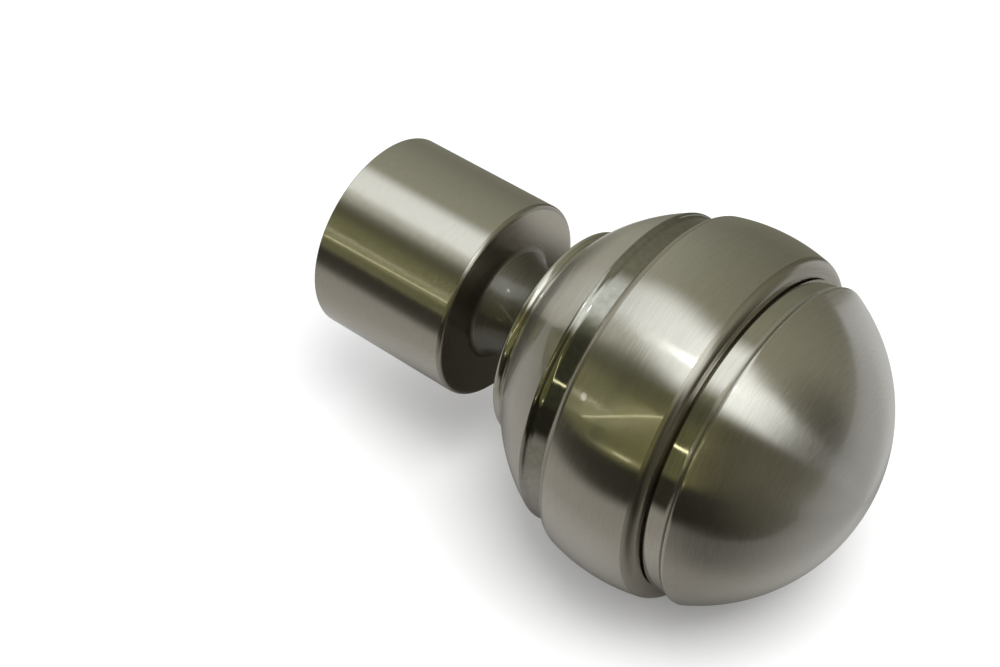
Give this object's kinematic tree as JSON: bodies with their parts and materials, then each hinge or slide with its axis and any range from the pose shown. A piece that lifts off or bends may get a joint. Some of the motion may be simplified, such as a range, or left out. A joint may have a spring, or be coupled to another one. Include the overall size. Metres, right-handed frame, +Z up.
{
  "type": "curtain pole finial",
  "caption": "Turned metal ball finial with a socket that fits over the end of a curtain pole, a waisted neck and a raised band between two grooves.",
  "frame": {"origin": "centre of the socket's mouth, on the pole's axis", "axes": "+X along the pole's axis, from the socket's mouth to the ball's crown, +Z up as the finial sits on a level pole, with the grub screw underneath"},
  "size_m": [0.0902, 0.0576, 0.0576],
  "materials": {
    "satin_nickel": "satin nickel plate on the ball's zones and the socket, polished on the shoulder, the neck, the collar and the grooves",
    "screw_steel": "plain plated steel"
  },
  "bodies": {
    "root": {"finial": "satin_nickel", "grub_screw": "screw_steel"}
  },
  "joints": []
}
